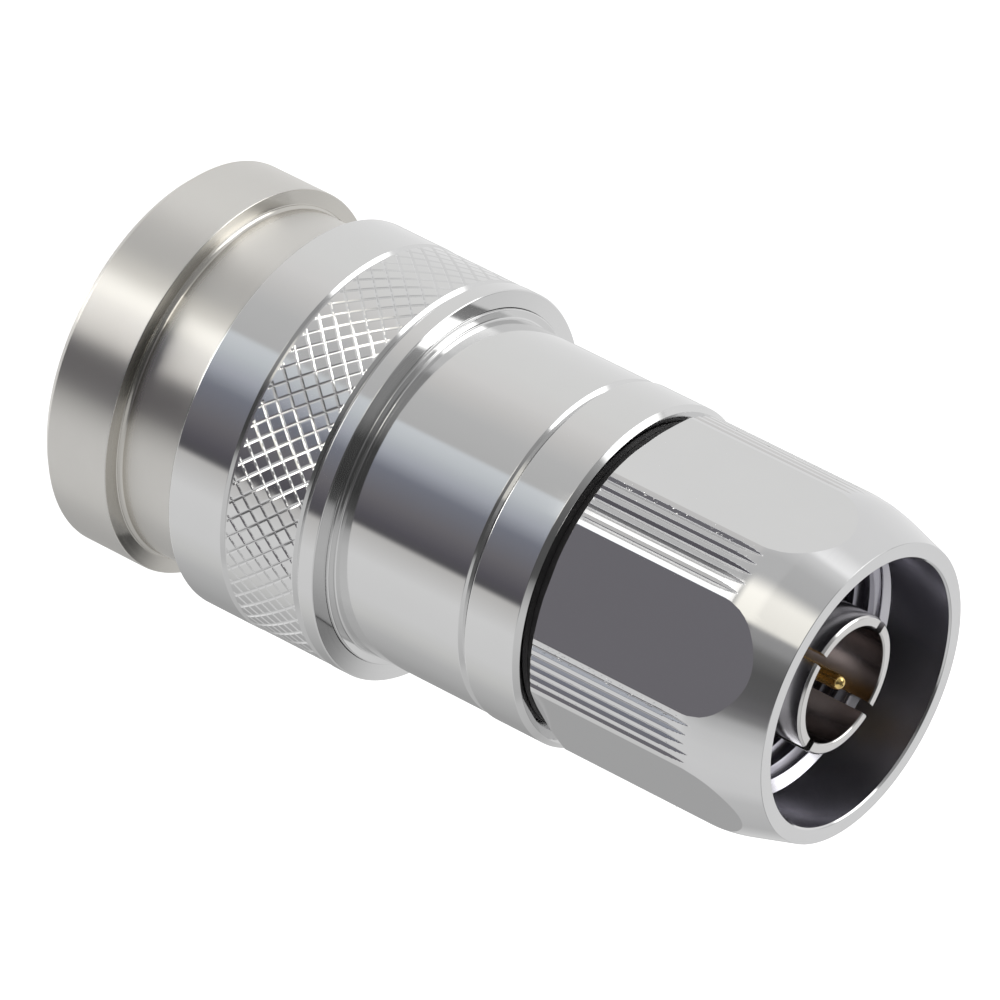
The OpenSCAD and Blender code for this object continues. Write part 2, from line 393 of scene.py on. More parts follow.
# painted shade inside the outer contact's bore, which darkens its colour and the reflections in it
CONTACT = metal("contact_nickel", (0.80, 0.79, 0.78), 0.14, 0.04, 0.15, 
                shade_zones=[(3.56, 0.0, 48.2, 0.02, (0.33, 0.30, 0.295), 0.06)])
BRASS = metal("brass", (0.78, 0.60, 0.30), 0.24, 0.06, 0.35, 6000)
BRONZE = metal("spring_bronze", (0.72, 0.46, 0.25), 0.28, 0.06, 0.35, 6000)
GOLD = metal("gold_plate", (0.95, 0.70, 0.28), 0.14, 0.04, 0.15, 9000, (0.85, 0.56, 0.18))
STEEL = metal("spring_steel", (0.52, 0.52, 0.53), 0.25, 0.06, 0.30, 6000)
RUBBER = rubber("black_rubber", (0.016, 0.015, 0.016))
WHITE = polymer("white_polymer", (0.86, 0.85, 0.82))


# ---------------------------------------------------------------- pieces

def keep(o, body, nodes):
    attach(o, body)
    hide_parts(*nodes)
    return o


# rear clamp nut: ring, neck and thread
def back_nut():
    b = Build()
    top = [(10.0, 9.36 + 0.05, 0.03), (9.45, 9.5, 0.05), (9.45, 9.95, 0.05), (10.0, 10.25, None)]
    pts = outline(
        [(10.0, 17.0, None), (9.6, 17.5, 0.08), (9.3, 17.5, 0.08), (9.0, 17.2, 0.05), (9.0, 1.6, 0.08), (8.1, 1.6, 0.05), (8.1, 0.45, 0.05), (8.55, 0.0, 0.05),
         (11.4, 0.0, 0.06), (11.9, 0.5, 0.08), (11.9, 4.71, 0.03), (11.85, 4.76, 0.03), (11.02, 4.84, 0.02), (10.98, 4.90, 0.02), (10.95, 4.88, 0.03), (10.78, 5.04, 0.35), (10.78, 9.36, 0.03),
         (10.0, 9.36, 0.03), (9.5, 9.42, 0.05), (9.5, 9.9, 0.05), (10.0, 10.3, None)],
        closed=False)
    lathe(b, pts, 320, closed=False)

    def r_of(ph, z):
        fade = min(1, max(0, (z - 10.3) / 0.4)) * min(1, max(0, (17.0 - z) / 0.4))
        return 10.0 - 0.5 * fade * vee(ph, 0.16, 0.12)

    screw(b, r_of, 10.3, 17.0, 1.0, 12, 200)
    o = b.obj("rear_clamp_nut", SATIN)
    keep(o, "rear_nut", ["back_nut"])


def knurled_sleeve():
    b = Build()
    z0, z1 = 13.66, 18.52
    n = 16                       # mesh steps along one diamond
    turn = 64                    # diamonds round
    pz = 1.26                    # height of a diamond
    cols = turn * n
    dz = pz / n
    rows = int(math.floor((z1 - z0) / dz))
    R = 11.98
    depth, half = 0.048, 2.0 / n
    rng = np.random.default_rng(7)
    wob_u = rng.normal(0, 0.012, turn)
    wob_v = rng.normal(0, 0.012, turn)
    zc = 15.12
    pc = -0.15 / 5.625
    j = np.arange(cols)
    zz = np.concatenate([[z0], z0 + dz * np.arange(1, rows + 1), [z1]])
    shift = (z0 - zc) / pz
    # move the phase so mesh lines meet the grooves
    k0 = round(shift * n) / n
    V = np.zeros((cols, len(zz), 3))
    H = np.zeros((cols, len(zz)))
    noise_d = rng.normal(0, 1, (turn, 64))
    for i, z in enumerate(zz):
        f = (z - z0) / pz
        u = (j / n + k0 + f)
        v = (-j / n + k0 + f)
        du = np.abs((u - np.floor(u)) - 0.5)
        dv = np.abs((v - np.floor(v)) - 0.5)
        iu = (np.floor(u).astype(int)) % turn
        iv = (np.floor(v).astype(int)) % turn
        gu = np.clip(1 - du / (half * (1 + wob_u[iu] * 3)), 0, 1)
        gv = np.clip(1 - dv / (half * (1 + wob_v[iv] * 3)), 0, 1)
        h = depth * np.maximum(gu * (1 + wob_u[iu] * 4), gv * (1 + wob_v[iv] * 4))
        # burr lips beside the grooves
        lip = 0.002 * (np.exp(-((du - half * 1.25) / 0.03) ** 2) + np.exp(-((dv - half * 1.25) / 0.03) ** 2))
        ends = min(1, (z - z0) / 0.10, (z1 - z) / 0.10)
        H[:, i] = R - h * max(0, ends) + lip * max(0, ends) - 0.006
    th = 2 * math.pi * j / cols + pc * 5.625 * RAD
    V[..., 0] = H * np.cos(th)[:, None]
    V[..., 1] = H * np.sin(th)[:, None]
    V[..., 2] = zz[None, :]
    M = len(zz)
    faces = []
    for a in range(cols):
        c = (a + 1) % cols
        for i in range(M - 1):
            p, q, s, t = a * M + i, c * M + i, c * M + i + 1, a * M + i + 1
            # choose the diagonal that follows the groove's edge
            if abs(H[a, i] - H[c, i + 1]) <= abs(H[c, i] - H[a, i + 1]):
                faces.append((p, q, s))
                faces.append((p, s, t))
            else:
                faces.append((p, q, t))
                faces.append((q, s, t))
    b.add(V.reshape(-1, 3), faces, None, 9)
    g = R - 0.006
    pts = outline(
        [(g, z1, None), (11.74, 18.74, 0.02), (12.0, 18.98, 0.05), (12.0, 19.94, 0.05), (11.94, 20.0, 0.05), (10.96, 20.06, 0.015),
         (10.92, 20.02, 0.02), (10.92, 17.85, 0.05), (10.08, 17.85, 0.05), (10.08, 11.35, 0.03), (10.96, 11.35, 0.05), (10.96, 10.25, 0.05), (10.08, 10.25, 0.03),
         (10.08, 9.46, 0.03), (10.18, 9.36, 0.03), (11.8, 9.36, 0.05), (12.0, 9.56, 0.10), (12.0, 13.28, 0.03), (11.77, 13.51, 0.02), (11.77, 13.58, 0.02), (g, z0, None)],
        closed=False)
    lathe(b, pts, 300, closed=False)
    o = b.obj("knurled_sleeve_turned", KNURL)
    keep(o, "plug_body", ["knurled_sleeve"])


def main_body():
    b = Build()
    pts = outline([
        (8.95, 17.95, 0.05), (10.7, 17.95, 0.05), (10.9, 18.15, 0.05), (10.9, 20.25, 0.07), (10.36, 20.25, 0.12), (10.36, 29.10, 0.06), (10.08, 29.36, 0.03),
        (8.6, 29.36, 0.03), (8.6, 24.6, 0.03), (7.2, 24.6, 0.05), (7.2, 20.6, 0.03), (8.95, 20.6, 0.03)])
    lathe(b, pts, 360)
    o = b.obj("main_body_turned", BODY)
    keep(o, "plug_body", ["main_body"])


def front_body():
    b = Build()
    pts = outline([
        (7.0, 24.8, 0.05), (8.4, 24.8, 0.05), (8.6, 25.0, 0.05), (8.6, 26.6, 0.03), (7.82, 26.6, 0.05), (7.82, 27.5, 0.05), (8.6, 27.5, 0.03), (8.6, 29.36, 0.02),
        (10.03, 29.36, 0.03), (10.45, 29.66, 0.08), (10.45, 33.02, 0.06), (10.13, 33.3, 0.04),
        (8.22, 33.3, 0.03), (8.22, 35.3, 0.03), (7.55, 35.3, 0.03), (7.55, 36.3, 0.03), (8.22, 36.3, 0.03), (8.22, 37.4, 0.05), (8.02, 37.6, 0.05),
        (5.6, 37.6, 0.03), (5.6, 31.0, 0.03), (4.6, 31.0, 0.03), (4.6, 28.7, 0.03), (7.0, 28.7, 0.03)])
    lathe(b, pts, 280)
    o = b.obj("front_body_turned", BODY)
    keep(o, "plug_body", ["front_body"])


def coupling_seal():
    b = Build()
    pts = outline([(8.22, 33.3, 0.03), (9.4, 33.3, 0.03), (9.4, 33.74, 0.12), (8.22, 33.74, 0.05)])
    lathe(b, pts, 240)
    o = b.obj("coupling_seal_ring", RUBBER)
    keep(o, "plug_body", ["coupling_seal"])


def coupling_nut():
    b = Build()
    R, AF = 10.2, 9.6
    F0 = -77.8
    half = math.degrees(math.acos(AF / R))
    step, gd, k_g = 3.65, 0.16, 1.28
    zs, z_e = 33.8, 49.4
    rc, hc = 9.66, 0.3            # chamfer at the rear end
    zn0, zn1 = 44.46, 46.75
    ga, gb = 42.9, 45.25          # where the grooves start to run out, and their tips

    def nose(z):
        """(radius, tan of slope) of the outside at a height."""
        if z <= zn0:
            return R, 0.0
        if z <= 46.68:
            d = z - zn0
            q = math.sqrt(64 - d * d)
            return R - 8 + q, d / q
        d = 46.68 - zn0
        q = math.sqrt(64 - d * d)
        r0 = R - 8 + q
        t = (r0 - 9.1) / (49.4 - 46.68)
        return r0 - (z - 46.68) * t, t

    def z_of(rho):
        """Height at which the nose has this radius."""
        lo, hi = zn0, 49.4
        for _ in range(50):
            m = (lo + hi) / 2
            if nose(m)[0] > rho:
                lo = m
            else:
                hi = m
        return (lo + hi) / 2

    gw = gd * k_g / R / RAD       # half width of a groove in degrees
    cols = []                     # azimuth from the flat's centre
    nf = 15
    cols += [half * i / nf for i in range(nf)]
    cols += [half - 0.12, half, half + 0.12]
    centre = 30.0
    edges = []
    for k in range(-2, 3):
        c = centre + k * step
        cols += [c - gw - 0.10, c - gw] + [c - gw + gw * i / 7 for i in range(1, 7)] + [c] + [c + gw * i / 7 for i in range(1, 7)] + [c + gw, c + gw + 0.10]
        edges.append(c)
    for k in range(-2, 2):
        cols.append(centre + (k + 0.5) * step)
    cols.append((half + centre - 2 * step - gw) / 2)
    cols.append(60 - (half + centre - 2 * step - gw) / 2)
    cols += [60 - half - 0.12, 60 - half, 60 - half + 0.12]
    cols += [60 - half * i / nf for i in range(nf - 1, 0, -1)]
    cols = sorted(set(round(c, 6) for c in cols))
    th_all = [F0 + 60 * s + c for s in range(6) for c in cols]
    rng = np.random.default_rng(3)
    # small differences from groove to groove
    jit = rng.normal(0, 1, (6, 5, 3))

    f_rows = [0.0, 0.002, 0.006, 0.012, 0.03, 0.12, 0.3, 0.5, 0.7] + [0.84 + 0.158 * i / 13 for i in range(14)] + [1.0]
    g_rows = [0.002] + [0.012 + 0.16 * i / 9 for i in range(10)] + [0.18 + (0.985 - 0.18) * i / 17 for i in range(1, 18)] + [1.0]

    def surf(th, z):
        """Outside radius and normal at an azimuth and height."""
        cand = []
        r0, t0 = nose(z)
        cand.append((r0, (math.cos(math.atan(t0)), 0.0, math.sin(math.atan(t0)))))
        sec = int(math.floor((th - F0) / 60.0)) % 6
        d = (th - F0) % 60.0
        a = d if d < 30 else d - 60
        cand.append((AF / math.cos(a * RAD), (math.cos(a * RAD), -math.sin(a * RAD), 0.0)))
        if z < gb:
            for k in range(-2, 3):
                c = centre + k * step
                x = (d - c)
                if abs(x) > gw * 1.3:
                    continue
                jj = jit[sec, k + 2]
                e = gb + 0.10 * jj[0]
                dep = gd * (1 + 0.05 * jj[1])
                if z > ga:
                    q = (z - ga) / (e - ga)
                    dep = dep * (1 - q * q) if q < 1 else 0.0
                    ddz = -2 * gd * q / (e - ga) if q < 1 else 0.0
                else:
                    ddz = 0.0
                if dep <= 0:
                    continue
                # the groove is cut from the cylinder's radius
                rg = R - dep + abs(x) * RAD * R / k_g
                sgn = 1.0 if x > 0 else -1.0
                sl = sgn / k_g if abs(x) > 1e-6 else 0.0
                nn = unit((1.0, -sl, ddz * 1.0))
                cand.append((rg, tuple(nn)))
        m = min(c[0] for c in cand)
        nn = np.zeros(3)
        for c in cand:
            if c[0] - m < 0.0006:
                nn += np.array(c[1])
        nn = unit(nn)
        return m, nn

    N = len(th_all)
    M = 3 + len(f_rows) + len(g_rows)
    V = np.zeros((N, M, 3))
    W = np.zeros((N, M, 3))
    cone = unit((hc, 0.0, rc - R))
    for j, th in enumerate(th_all):
        d = (th - F0) % 60.0
        a = d if d < 30 else d - 60
        zt = z_of(AF / math.cos(a * RAD)) if abs(a) < half else zn0
        ca, sa = math.cos(th * RAD), math.sin(th * RAD)
        rho, side = surf(th, zs + 0.5)
        zc = zs + max(0.0, (rho - rc) / (R - rc) * hc)
        rear = []
        if rho > rc + 0.02:
            rear.append((rc - 0.012, zs, unit(cone + np.array([0, 0, -0.6]))))
            rear.append((rc + 0.01, zs + 0.01, cone))
            rear.append((rho - 0.01, zc - 0.005, cone))
        else:
            rr = min(rho, rc)
            rear.append((rr - 0.015, zs, unit(side + np.array([0, 0, -0.9]))))
            rear.append((rr - 0.004, zs + 0.008, unit(side + np.array([0, 0, -0.3]))))
            rear.append((rho, zs + 0.02, side))
            zc = max(zc, zs + 0.01)
        for i, (r, z, nn) in enumerate(rear):
            V[j, i] = (r * ca, r * sa, z)
            W[j, i] = (nn[0] * ca - nn[1] * sa, nn[0] * sa + nn[1] * ca, nn[2])
        for i in range(3, M):
            k = i - 3
            z = zc + 0.015 + (zt - zc - 0.015) * f_rows[k] if k < len(f_rows) else zt + (z_e - 0.06 - zt) * g_rows[k - len(f_rows)]
            r, nn = surf(th, z)
            V[j, i] = (r * ca, r * sa, z)
            W[j, i] = (nn[0] * ca - nn[1] * sa, nn[0] * sa + nn[1] * ca, nn[2])
    faces = []
    for j in range(N):
        l = (j + 1) % N
        for i in range(M - 1):
            faces.append((j * M + i, l * M + i, l * M + i + 1, j * M + i + 1))
    b.add(V.reshape(-1, 3), faces, W.reshape(-1, 3))

    # rear face, from the outline in to the bore
    zr = zs
    E = np.zeros((N, 3, 3))
    EN = np.zeros((N, 3, 3))
    for j, th in enumerate(th_all):
        ca, sa = math.cos(th * RAD), math.sin(th * RAD)
        r = math.hypot(V[j, 0, 0], V[j, 0, 1])
        E[j, 0] = V[j, 0]
        EN[j, 0] = W[j, 0]
        E[j, 1] = ((r - 0.02) * ca, (r - 0.02) * sa, zr)
        EN[j, 1] = (0, 0, -1)
        E[j, 2] = (8.35 * ca, 8.35 * sa, zr)
        EN[j, 2] = (0, 0, -1)
    faces = []
    for j in range(N):
        l = (j + 1) % N
        for i in range(2):
            faces.append((l * 3 + i, j * 3 + i, j * 3 + i + 1, l * 3 + i + 1))
    b.add(E.reshape(-1, 3), faces, EN.reshape(-1, 3))

    # rim, counterbore and its step
    t_rim = nose(49.34)[0]
    pts = outline([
        (t_rim, 49.34, None), (t_rim - 0.017, 49.4, 0.045), (8.22, 49.4, 0.05), (8.12, 49.30, 0.03), (8.12, 45.26, 0.02), (7.94, 45.08, None)],
        closed=False)
    lathe(b, pts, thetas=[t * RAD for t in th_all], closed=False)
    # bore and the snap ring's groove
    pts = outline([
        (7.94, 39.0, None), (8.3, 38.8, 0.03), (8.3, 36.3, 0.03), (8.8, 36.3, 0.03), (8.8, 35.3, 0.03), (8.3, 35.3, 0.03), (8.3, 33.85, 0.03), (8.35, 33.8, None)],
        closed=False)
    lathe(b, pts, 240, closed=False)

    def r_of(ph, z):
        lead = 7.94 - max(0.0, 45.08 - z) * 1.0          # 45 degree lead at the mouth
        tail = 7.94 - max(0.0, z - 39.0) * 1.5
        return max(7.94 - 0.56 * vee(ph, 0.125, 0.25), lead, tail)

    screw(b, r_of, 39.0, 45.08, 1.058, 12, 180, 25, inward=True)
    # burrs left by the groove cutter, mostly beside the first groove after a flat
    rb = np.random.default_rng(11)
    for s in range(6):
        for k in range(110 if s == 0 else 36):
            e = edges[int(rb.integers(0, 5))] - gw if rb.random() < 0.22 else half + 0.3 + (edges[0] - half) * 0.95 * rb.random() ** 0.8
            z = 34.6 + 9.6 * rb.random()
            th = (F0 + 60 * s + e + rb.normal(0, 0.1)) * RAD
            w, l, h = rb.uniform(0.018, 0.05), rb.uniform(0.02, 0.09), rb.uniform(0.012, 0.035)
            er = np.array([math.cos(th), math.sin(th), 0.0])
            et = np.array([-math.sin(th), math.cos(th), 0.0])
            c = er * (R - 0.004) + np.array([0, 0, z])
            tip = c + er * h + et * rb.uniform(-w, w) * 0.5 + np.array([0, 0, rb.uniform(-l, l) * 0.5])
            P = [c - er * 0.03, tip]
            m = 5
            for i in range(m):
                a = 2 * math.pi * (i + rb.uniform(-0.25, 0.25)) / m
                P.append(c + et * w * math.cos(a) + np.array([0, 0, l * math.sin(a)]))
            fs = [(2 + i, 2 + (i + 1) % m, 1) for i in range(m)] + [(2 + (i + 1) % m, 2 + i, 0) for i in range(m)]
            b.add(np.array(P), fs, None, 5)
    o = b.obj("coupling_nut_milled", BRIGHT)
    keep(o, "coupling", ["coupling_nut"])


def fingers(b, pts, a_half, count, turn, cols=40):
    """Turned sectors between saw slots that leave parallel walls. a_half is half the slot's width."""
    M = len(pts)
    r = np.array([p[0][0] for p in pts])
    z = np.array([p[0][1] for p in pts])
    nr = np.array([p[1][0] for p in pts])
    nz = np.array([p[1][1] for p in pts])
    for k in range(count):
        base = turn + 360.0 / count * k
        al = np.degrees(np.arcsin(a_half / r))
        V, W = [], []
        for j in range(cols + 1):
            u = j / cols
            th = (base + al + (360.0 / count - 2 * al) * u) * RAD
            for i in range(M):
                V.append((r[i] * math.cos(th[i]), r[i] * math.sin(th[i]), z[i]))
                W.append((nr[i] * math.cos(th[i]), nr[i] * math.sin(th[i]), nz[i]))
        faces = []
        for j in range(cols):
            for i in range(M):
                l = (i + 1) % M
                faces.append((j * M + i, (j + 1) * M + i, (j + 1) * M + l, j * M + l))
        b.add(V, faces, W)
        for j, flip in ((0, False), (cols, True)):
            P = [V[j * M + i] for i in range(M)]
            f = list(range(M))
            if flip:
                f = f[::-1]
            b.add(P, [tuple(f)], None, 20)


def outer_contact():
    b = Build()
    zr = 48.26 - 7.0
    pts = outline([(3.53, zr, 0.0), (4.2, zr, 0.0), (4.2, 48.14, 0.06), (4.08, 48.26, 0.05), (3.61, 48.26, 0.03), (3.53, 48.18, 0.03)])
    fingers(b, pts, 0.33, 4, 80.5)
    pts = outline([
        (3.53, 31.0, 0.05), (5.6, 31.0, 0.05), (5.6, 37.6, 0.03), (4.6, 37.6, 0.02), (4.6, 38.5, 0.04), (4.5, 38.6, 0.04), (4.2, 38.6, 0.06), (4.2, zr, 0.0), (3.53, zr, 0.0)])
    lathe(b, pts, 288)
    o = b.obj("outer_contact_slotted", CONTACT)
    keep(o, "plug_body", ["outer_contact"])


def centre_contact():
    b = Build()
    tip = [(0.455 * math.cos(a * RAD), 48.16 - 0.455 + 0.455 * math.sin(a * RAD), None) for a in range(0, 90, 6)]
    pts = outline(
        [(0.0, 24.8, 0.0), (2.4, 24.8, 0.05), (3.2, 24.8, 0.0), (3.2, 25.0, 0.03), (2.9, 25.0, 0.03), (2.9, 30.4, 0.06), (1.25, 30.4, 0.04), (1.25, 42.6, 0.15), (0.455, 43.3, 0.15)]
        + tip + [(0.0, 48.16, None)], closed=False)
    pts[-1] = (pts[-1][0], np.array([0.0, 1.0]))
    lathe(b, pts, 96, closed=False)
    # slotted socket behind
    pts = outline([(2.65, 18.5, 0.04), (3.0, 18.5, 0.05), (3.2, 18.7, 0.05), (3.2, 19.88, 0.05), (2.95, 20.0, 0.08), (2.92, 20.2, 0.1), (2.95, 20.4, 0.08), (3.2, 20.52, 0.05),
                   (3.2, 24.8, 0.0), (2.4, 24.8, 0.0), (2.4, 18.8, 0.05)])
    fingers(b, pts, 0.3, 4, 45, 24)
    o = b.obj("centre_contact_pin", GOLD)
    keep(o, "plug_body", ["centre_contact"])


def rings():
    def ring(name, corners, mat, body, node, cols=180):
        b = Build()
        lathe(b, outline(corners), cols)
        keep(b.obj(name, mat), body, [node])

    ring("interface_gasket_flat", [(4.65, 37.6, 0.08), (7.1, 37.6, 0.08), (7.1, 38.5, 0.2), (4.65, 38.5, 0.2)], RUBBER, "plug_body", "interface_gasket")
    ring("front_bead", [(1.25, 31.2, 0.05), (3.53, 31.2, 0.1), (3.53, 36.4, 0.12), (1.25, 36.4, 0.08)], WHITE, "plug_body", "front_insulator")
    ring("rear_bead", [(2.9, 25.2, 0.05), (7.0, 25.2, 0.12), (7.0, 28.6, 0.12), (2.9, 28.6, 0.05)], WHITE, "plug_body", "rear_insulator")
    ring("flare_cone", [(8.6, 17.95, 0.1), (8.95, 17.95, 0.05), (8.95, 20.6, 0.05), (5.9, 20.6, 0.08), (5.9, 19.6, 0.08), (6.4, 19.3, 0.2)], BRASS, "plug_body", "flare_seat")
    ring("thrust_ring", [(8.15, 6.75, 0.06), (8.8, 6.75, 0.06), (8.8, 7.55, 0.06), (8.15, 7.55, 0.06)], BRASS, "clamp_pack", "thrust_washer")
    lips = [(9.0, 1.6, 0.08), (9.0, 6.6, 0.08), (7.75, 6.6, 0.1)]
    for z in (5.7, 4.1, 2.5):
        q = math.sqrt(0.5 ** 2 - 0.2 ** 2)
        a = math.degrees(math.atan2(q, 0.2))
        lips += [(7.75, z + q, 0.05)] + arc(7.55, z, 0.5, a - 8, -a + 8, 8) + [(7.75, z - q, 0.05)]
    lips += [(7.75, 1.6, 0.1)]
    ring("jacket_seal", lips, RUBBER, "rear_nut", "cable_gasket")


def tori():
    def wire(name, R, r, z, mat, body, node, gap=0.0):
        b = Build()
        cols, m = (220, 20)
        V, W, faces = [], [], []
        a0 = math.asin(gap / 2 / R) if gap else 0.0
        n = cols + (1 if gap else 0)
        for j in range(n):
            th = a0 + (2 * math.pi - 2 * a0) * j / cols
            for i in range(m):
                a = 2 * math.pi * i / m
                rr = R + r * math.cos(a)
                V.append((rr * math.cos(th), rr * math.sin(th), z + r * math.sin(a)))
                W.append((math.cos(a) * math.cos(th), math.cos(a) * math.sin(th), math.sin(a)))
        for j in range(cols):
            l = (j + 1) % n
            for i in range(m):
                k = (i + 1) % m
                faces.append((j * m + i, l * m + i, l * m + k, j * m + k))
        b.add(V, faces, W)
        if gap:
            b.add([V[i] for i in range(m)], [tuple(range(m))], None, 20)
            b.add([V[cols * m + i] for i in range(m)], [tuple(range(m))[::-1]], None, 20)
        keep(b.obj(name, mat), body, [node])

    wire("sleeve_o_ring", 10.5, 0.44, 10.8, RUBBER, "plug_body", "sleeve_seal")
    wire("body_o_ring", 8.2, 0.38, 27.05, RUBBER, "plug_body", "body_seal")
    wire("finger_spring", 8.42, 0.16, 13.6, STEEL, "clamp_pack", "collet_spring", 1.0)
    wire("socket_spring", 3.13, 0.2, 20.2, STEEL, "plug_body", "contact_spring", 0.6)


def collet():
    b = Build()
    zr = 10.4
    pts = outline([
        (8.05, 7.65, 0.08), (8.72, 7.65, 0.08), (8.72, zr, 0.0), (7.55, zr, 0.0), (8.05, 10.0, 0.1)])
    lathe(b, pts, 192)
    pts = outline([
        (8.72, zr, 0.0), (8.72, 13.1, 0.05), (8.45, 13.2, 0.1), (8.26, 13.6, 0.3), (8.45, 14.0, 0.1), (8.72, 14.1, 0.05), (8.72, 16.2, 0.1), (8.3, 16.9, 0.12),
        (6.95, 16.9, 0.08), (6.7, 16.6, 0.1), (6.7, 15.9, 0.1), (7.1, 15.4, 0.1), (7.1, 10.9, 0.1), (7.55, zr, 0.0)])
    fingers(b, pts, 0.4, 8, 22.5, 24)
    o = b.obj("clamp_fingers", BRONZE)
    keep(o, "clamp_pack", ["clamp_collet"])


back_nut()
knurled_sleeve()
main_body()
front_body()
coupling_seal()
coupling_nut()
outer_contact()
centre_contact()
rings()
tori()
collet()
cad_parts["snap_ring"].data.materials.clear()
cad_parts["snap_ring"].data.materials.append(STEEL)


# ---------------------------------------------------------------- studio

def studio():
    sc = bpy.context.scene
    sc.view_settings.view_transform = "Standard"
    sc.view_settings.look = "None"
    w = bpy.data.worlds.new("studio")
    sc.world = w
    w.use_nodes = True
    w.cycles.sampling_method = "NONE"
    nt = w.node_tree
    nt.nodes.clear()
    out = nt.nodes.new("ShaderNodeOutputWorld")
    bg = nt.nodes.new("ShaderNodeBackground")
    nt.links.new(bg.outputs[0], out.inputs[0])
    tc = nt.nodes.new("ShaderNodeTexCoord")
    sp = nt.nodes.new("ShaderNodeSeparateXYZ")
    nt.links.new(tc.outputs["Generated"], sp.inputs[0])
    az = math_node(nt, "ARCTAN2", sp.outputs[1], sp.outputs[0])
    az = math_node(nt, "ADD", math_node(nt, "DIVIDE", az, 2 * math.pi), 0.5)   # 0 at -180 degrees
    el = math_node(nt, "DIVIDE", math_node(nt, "ARCSINE", sp.outputs[2]), RAD)
    deg = math_node(nt, "SUBTRACT", math_node(nt, "MULTIPLY", az, 360), 180)
    def panel(stops):
        """Azimuth in degrees and the surroundings' colour there."""
        ramp = nt.nodes.new("ShaderNodeValToRGB")
        ramp.color_ramp.interpolation = "LINEAR"
        el_ = ramp.color_ramp.elements
        while len(el_) > 1:
            el_.remove(el_[0])
        for k, (a, c) in enumerate(stops):
            if not isinstance(c, tuple):
                c = (c, c, c)
            e = el_[0] if k == 0 else el_.new((a + 180) / 360)
            e.position = (a + 180) / 360
            e.color = (*c, 1)
        nt.links.new(az, ramp.inputs[0])
        return ramp.outputs[0]

    low = panel([
        (-180, (0.78, 0.78, 0.77)), (-162, (0.75, 0.74, 0.73)), (-148, (0.65, 0.64, 0.63)), (-134, (0.55, 0.55, 0.55)),
        (-114, (0.51, 0.51, 0.51)), (-112, (0.68, 0.71, 0.74)), (-104, (0.60, 0.63, 0.66)), (-92, (0.42, 0.44, 0.49)),
        (-82, (0.20, 0.21, 0.25)), (-64, (0.165, 0.158, 0.172)), (-50, (0.10, 0.095, 0.11)), (-44, (0.09, 0.088, 0.095)),
        (-41, (0.55, 0.54, 0.53)), (-22, (0.73, 0.73, 0.73)), (6, (0.70, 0.70, 0.70)), (20, (0.63, 0.63, 0.62)),
        (34, 0.51), (62, 0.37), (84, 0.33), (94, 0.60), (104, 0.86), (124, 0.82), (150, (0.79, 0.79, 0.785)), (180, (0.78, 0.78, 0.77)),
    ])
    mid = panel([
        (-180, 0.76), (-156, 0.75), (-148, 0.62), (-142, 0.54), (-130, 0.54), (-98, 0.30), (-96, (0.17, 0.16, 0.175)), (-46, (0.165, 0.155, 0.17)),
        (-41, 0.20), (-36, 0.45), (-26, 0.63), (-13, 0.69), (0, 0.70), (14, 0.68), (24, 0.58), (54, 0.50), (66, 0.60), (90, 0.75),
        (106, 0.86), (124, 0.82), (150, 0.77), (180, 0.76),
    ])
    mid2 = panel([
        (-180, 0.76), (-156, 0.72), (-148, 0.50), (-142, 0.47), (-130, 0.47), (-98, 0.34), (-90, 0.32), (-84, 0.18), (-72, 0.105), (-58, 0.11),
        (-48, 0.14), (-41, 0.25), (-36, 0.50), (-26, 0.65), (-13, 0.69), (0, 0.70), (14, 0.68), (24, 0.60), (54, 0.50), (66, 0.60), (90, 0.75),
        (106, 0.86), (124, 0.82), (150, 0.80), (180, 0.76),
    ])
    bottom = panel([
        (-180, 0.76), (-150, 0.74), (-134, 0.66), (-118, 0.62), (-104, 0.62), (-92, 0.45), (-80, 0.22), (-64, 0.14), (-50, 0.10), (-42, 0.14),
        (-36, 0.55), (-22, 0.80), (6, 0.74), (20, 0.72), (34, 0.84), (50, 1.0), (62, 1.15), (76, 1.1), (90, 0.80), (104, 0.80), (124, 0.76),
        (150, 0.74), (180, 0.76),
    ])
    high = panel([
        (-180, 0.60), (-166, 0.40), (-158, 0.32), (-120, 0.30), (-108, 0.26), (-99, 0.16), (-92, 0.07), (-62, 0.055), (-48, 0.10),
        (-42, 0.42), (-32, 0.56), (-20, 0.61), (0, 0.61), (16, 0.54), (36, 0.44), (56, 0.37), (68, 0.30), (74, 0.04), (84, 0.04),
        (88, 0.62), (104, 0.73), (113, 0.55), (118, 0.20), (140, 0.28), (160, 0.40), (180, 0.60),
    ])

    def blend(x, a, b, lo, hi):
        m = nt.nodes.new("ShaderNodeMapRange")
        m.interpolation_type = "SMOOTHSTEP"
        m.inputs[1].default_value, m.inputs[2].default_value = a, b
        nt.links.new(x, m.inputs[0])
        return mix_rgb(nt, m.outputs[0], lo, hi)

    def window(x, a, b, c, d):
        """1 between b and c, falling to 0 at a and d."""
        up = nt.nodes.new("ShaderNodeMapRange")
        up.interpolation_type = "SMOOTHSTEP"
        up.inputs[1].default_value, up.inputs[2].default_value = a, b
        up.inputs[3].default_value, up.inputs[4].default_value = 0, 1
        nt.links.new(x, up.inputs[0])
        dn = nt.nodes.new("ShaderNodeMapRange")
        dn.interpolation_type = "SMOOTHSTEP"
        dn.inputs[1].default_value, dn.inputs[2].default_value = c, d
        dn.inputs[3].default_value, dn.inputs[4].default_value = 1, 0
        nt.links.new(x, dn.inputs[0])
        return math_node(nt, "MULTIPLY", up.outputs[0], dn.outputs[0])

